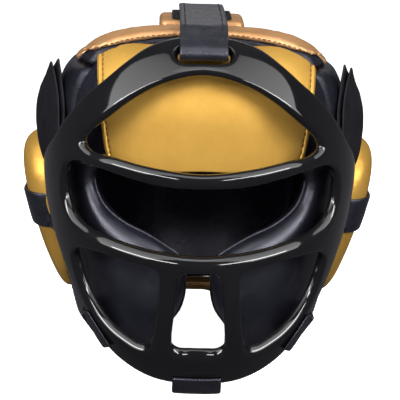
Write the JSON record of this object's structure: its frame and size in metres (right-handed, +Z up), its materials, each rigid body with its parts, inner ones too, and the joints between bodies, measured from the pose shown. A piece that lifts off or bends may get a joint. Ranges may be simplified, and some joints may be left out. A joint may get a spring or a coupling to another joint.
{
  "type": "boxing headgear with grille",
  "caption": "Padded full-face boxing headguard with a moulded face grille held on by straps at the crown, temples, ears, jaw and chin.",
  "frame": {"origin": "middle of the headgear's box, on the surface that it stands on", "axes": "+Z up, the face looks along -Y, +X is to the right of someone facing the grille"},
  "size_m": [0.2526, 0.2689, 0.2474],
  "materials": {
    "cage_plastic": "glossy black moulded plastic",
    "black_leather": "creased black coated leather over foam",
    "gold_leather": "satin metallic gold coated leather",
    "black_strap": "smooth black coated strap, stitched along its edges",
    "loop_fabric": "black brushed loop pile"
  },
  "bodies": {
    "root": {"face_cage": "cage_plastic", "forehead_pad": "black_leather", "brow_patch": "gold_leather", "crown_panel": "gold_leather", "crown_tab": "gold_leather", "crown_loop_field": "loop_fabric", "cheek_pad_left": "black_leather", "cheek_pad_right": "black_leather", "ear_pad_left": "gold_leather", "ear_pad_right": "gold_leather", "side_panel_left": "black_leather", "side_panel_right": "black_leather", "back_panel": "black_leather", "nape_pad": "gold_leather", "top_strap": "black_strap", "chin_strap": "black_strap", "temple_strap_left": "black_strap", "temple_strap_right": "black_strap", "ear_strap_left": "black_strap", "ear_strap_right": "black_strap", "jaw_strap_left": "black_strap", "jaw_strap_right": "black_strap"}
  },
  "joints": []
}
